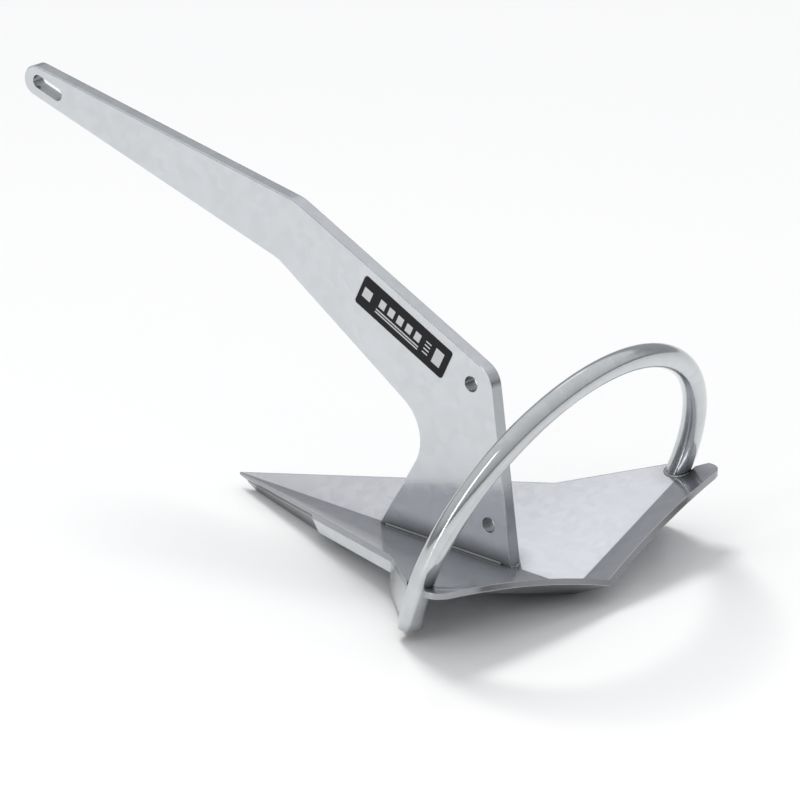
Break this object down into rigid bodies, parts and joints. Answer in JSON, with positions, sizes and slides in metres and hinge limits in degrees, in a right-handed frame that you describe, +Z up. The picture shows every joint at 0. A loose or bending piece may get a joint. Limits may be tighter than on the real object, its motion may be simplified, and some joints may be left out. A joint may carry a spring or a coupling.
{
  "type": "fluke anchor",
  "caption": "Welded steel boat anchor with a folded concave scoop fluke, a flat plate shank with a shackle slot, side skids, and a round-tube roll bar leaning back over the trailing edge.",
  "frame": {"origin": "on the surface the anchor stands on, under the middle of its overall box", "axes": "+X from the tip of the fluke towards the roll bar, +Y to the anchor's right across the fluke as seen in plan with the tip pointing to -X, +Z up from the surface it stands on"},
  "size_m": [0.78, 0.4348, 0.39],
  "materials": {
    "zinc_steel": "satin light silver-grey coating over galvanised plate",
    "zinc_tube": "glossier light silver-grey coating on bent tube",
    "weld": "coated weld bead, same colour as the plate",
    "label": null
  },
  "bodies": {
    "root": {"shank": "zinc_steel", "fluke_plate": "zinc_steel", "toe_weight": "zinc_steel", "roll_bar": "zinc_tube", "label_plate": "label", "skid_front_left": "zinc_steel", "skid_front_right": "zinc_steel", "skid_rear_left": "zinc_steel", "skid_rear_right": "zinc_steel", "shank_weld_heel": "weld", "shank_weld_left": "weld", "shank_weld_right": "weld", "roll_bar_weld_left": "weld", "roll_bar_weld_right": "weld", "skid_front_weld_left": "weld", "skid_front_weld_right": "weld", "skid_rear_weld_left": "weld", "skid_rear_weld_right": "weld", "toe_weld_left": "weld", "toe_weld_right": "weld"}
  },
  "joints": []
}
